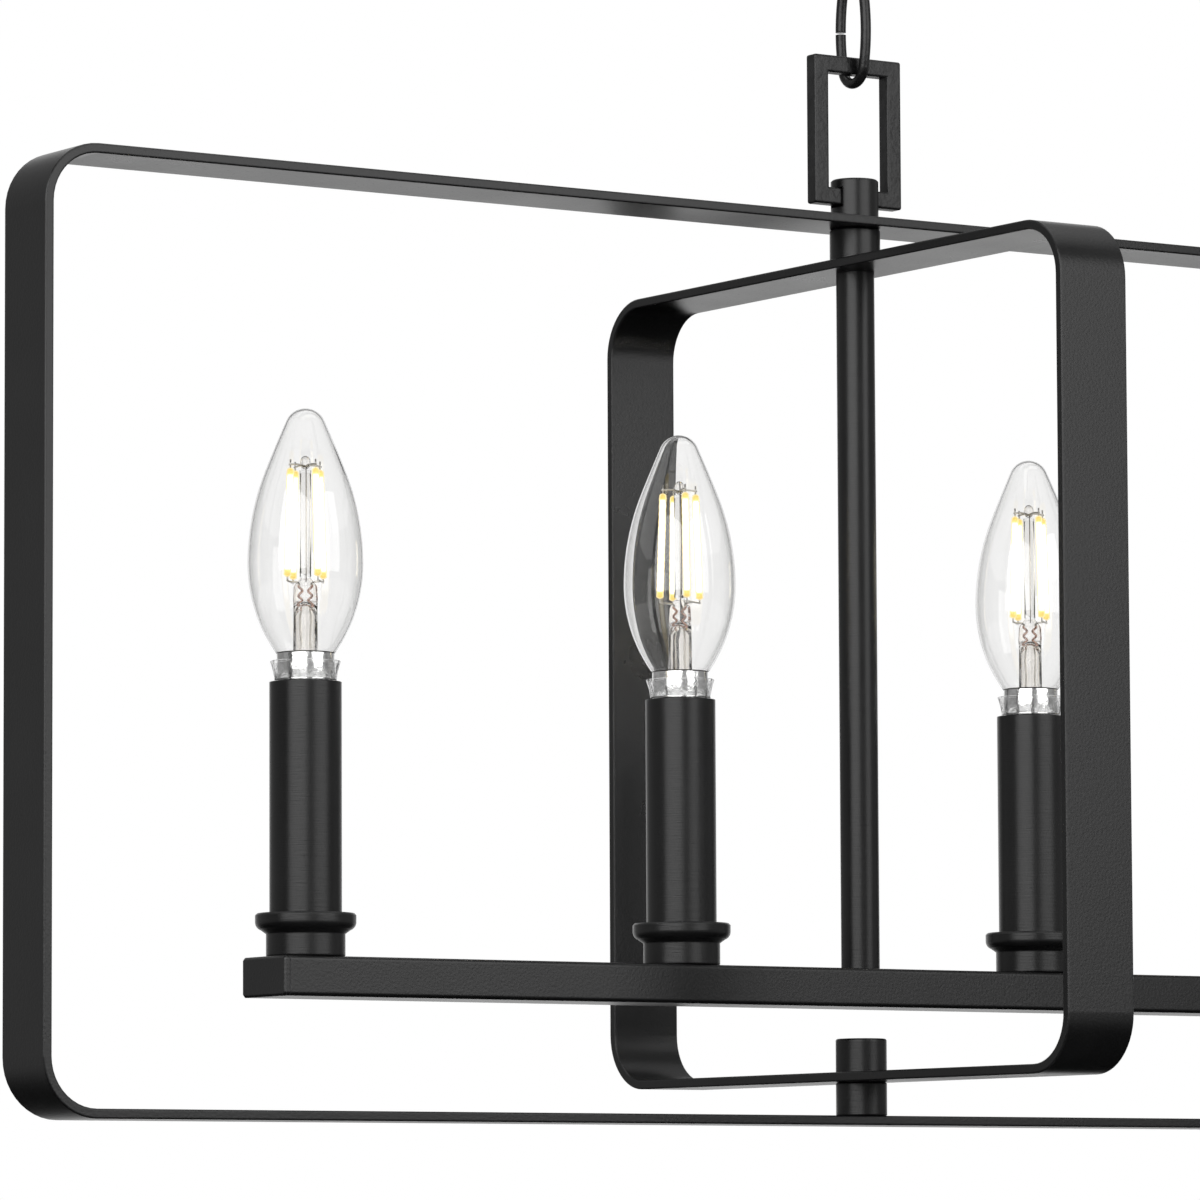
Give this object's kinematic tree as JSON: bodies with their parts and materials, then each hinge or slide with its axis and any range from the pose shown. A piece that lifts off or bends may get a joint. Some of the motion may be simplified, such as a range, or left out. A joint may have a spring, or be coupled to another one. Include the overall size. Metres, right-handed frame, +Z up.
{
  "type": "linear island pendant",
  "caption": "Linear island pendant: two crossed rectangular flat-bar frames on a stem, a bar of candle lights with clear torpedo bulbs, an oval-link chain and a round canopy.",
  "frame": {"origin": "centre of the crossbar's face on the ceiling plane", "axes": "+Z up into the ceiling, +X along the long frame and the candle bar, Y across, along the cross frame"},
  "size_m": [0.614, 0.253, 0.5123],
  "materials": {
    "black_paint": "satin",
    "zinc_steel": "satin",
    "socket_moulding": "matte",
    "brass_parts": "satin",
    "ground_green": "satin",
    "cable_sheath": "matte",
    "clear_glass": "clear",
    "polished_base": "polished",
    "lit_filament": "glowing"
  },
  "bodies": {
    "ceiling": {"crossbar": "zinc_steel", "ground_screw": "ground_green", "ceiling_nipple": "zinc_steel", "ceiling_nut": "zinc_steel", "canopy": "black_paint", "ceiling_loop": "black_paint"},
    "ring_nut": {"ring_nut": "black_paint"},
    "link_1": {"chain_link_1": "black_paint"},
    "link_2": {"chain_link_2": "black_paint"},
    "link_3": {"chain_link_3": "black_paint"},
    "link_4": {"chain_link_4": "black_paint"},
    "loop": {"hanging_loop": "black_paint"},
    "fixture": {"loop_collar": "black_paint", "long_frame": "black_paint", "upper_spacer": "black_paint", "cross_frame": "black_paint", "stem_tube": "black_paint", "tie_rod": "zinc_steel", "stem_nut": "zinc_steel", "candle_bar": "black_paint", "bar_end_caps": "black_paint", "lower_cap": "black_paint", "lower_spacer": "black_paint", "lower_screw": "black_paint", "candle_cup_1": "black_paint", "candle_cup_2": "black_paint", "candle_cup_3": "black_paint", "candle_cup_4": "black_paint", "candle_sleeve_1": "black_paint", "candle_sleeve_2": "black_paint", "candle_sleeve_3": "black_paint", "candle_sleeve_4": "black_paint", "lamp_socket_1": "socket_moulding", "lamp_socket_2": "socket_moulding", "lamp_socket_3": "socket_moulding", "lamp_socket_4": "socket_moulding", "socket_shells": "brass_parts", "socket_brackets": "zinc_steel", "candle_nipples": "zinc_steel", "candle_nuts": "zinc_steel", "terminal_block": "socket_moulding", "lead_cables": "cable_sheath"},
    "bulb_1": {"bulb_glass_1": "clear_glass", "bulb_base_1": "polished_base", "bulb_mount_1": "clear_glass", "bulb_filaments_1": "lit_filament"},
    "bulb_2": {"bulb_glass_2": "clear_glass", "bulb_base_2": "polished_base", "bulb_mount_2": "clear_glass", "bulb_filaments_2": "lit_filament"},
    "bulb_3": {"bulb_glass_3": "clear_glass", "bulb_base_3": "polished_base", "bulb_mount_3": "clear_glass", "bulb_filaments_3": "lit_filament"},
    "bulb_4": {"bulb_glass_4": "clear_glass", "bulb_base_4": "polished_base", "bulb_mount_4": "clear_glass", "bulb_filaments_4": "lit_filament"}
  },
  "joints": [
    {"name": "ring_nut_turn", "type": "hinge", "parent": "ceiling", "child": "ring_nut", "pos_m": [0, 0, -0.028], "axis": [0, 0, 1], "continuous": true},
    {"name": "link_1_swing", "type": "hinge", "parent": "ceiling", "child": "link_1", "pos_m": [0, 0, -0.051], "axis": [0, 1, 0], "range_deg": [-30, 30]},
    {"name": "link_2_swing", "type": "hinge", "parent": "link_1", "child": "link_2", "pos_m": [0, 0, -0.0814], "axis": [1, 0, 0], "range_deg": [-30, 30]},
    {"name": "link_3_swing", "type": "hinge", "parent": "link_2", "child": "link_3", "pos_m": [0, 0, -0.1123], "axis": [0, 1, 0], "range_deg": [-30, 30]},
    {"name": "link_4_swing", "type": "hinge", "parent": "link_3", "child": "link_4", "pos_m": [0, 0, -0.1432], "axis": [1, 0, 0], "range_deg": [-30, 30]},
    {"name": "loop_swing", "type": "hinge", "parent": "link_4", "child": "loop", "pos_m": [0, 0, -0.1741], "axis": [0, 1, 0], "range_deg": [-30, 30]},
    {"name": "fixture_rock", "type": "hinge", "parent": "loop", "child": "fixture", "pos_m": [0, 0, -0.21192], "axis": [1, 0, 0], "range_deg": [-6, 6]},
    {"name": "bulb_1_lift", "type": "slide", "parent": "fixture", "child": "bulb_1", "axis": [0, 0, 1], "range_m": [0, 0.03]},
    {"name": "bulb_2_lift", "type": "slide", "parent": "fixture", "child": "bulb_2", "axis": [0, 0, 1], "range_m": [0, 0.03]},
    {"name": "bulb_3_lift", "type": "slide", "parent": "fixture", "child": "bulb_3", "axis": [0, 0, 1], "range_m": [0, 0.03]},
    {"name": "bulb_4_lift", "type": "slide", "parent": "fixture", "child": "bulb_4", "axis": [0, 0, 1], "range_m": [0, 0.03]}
  ]
}
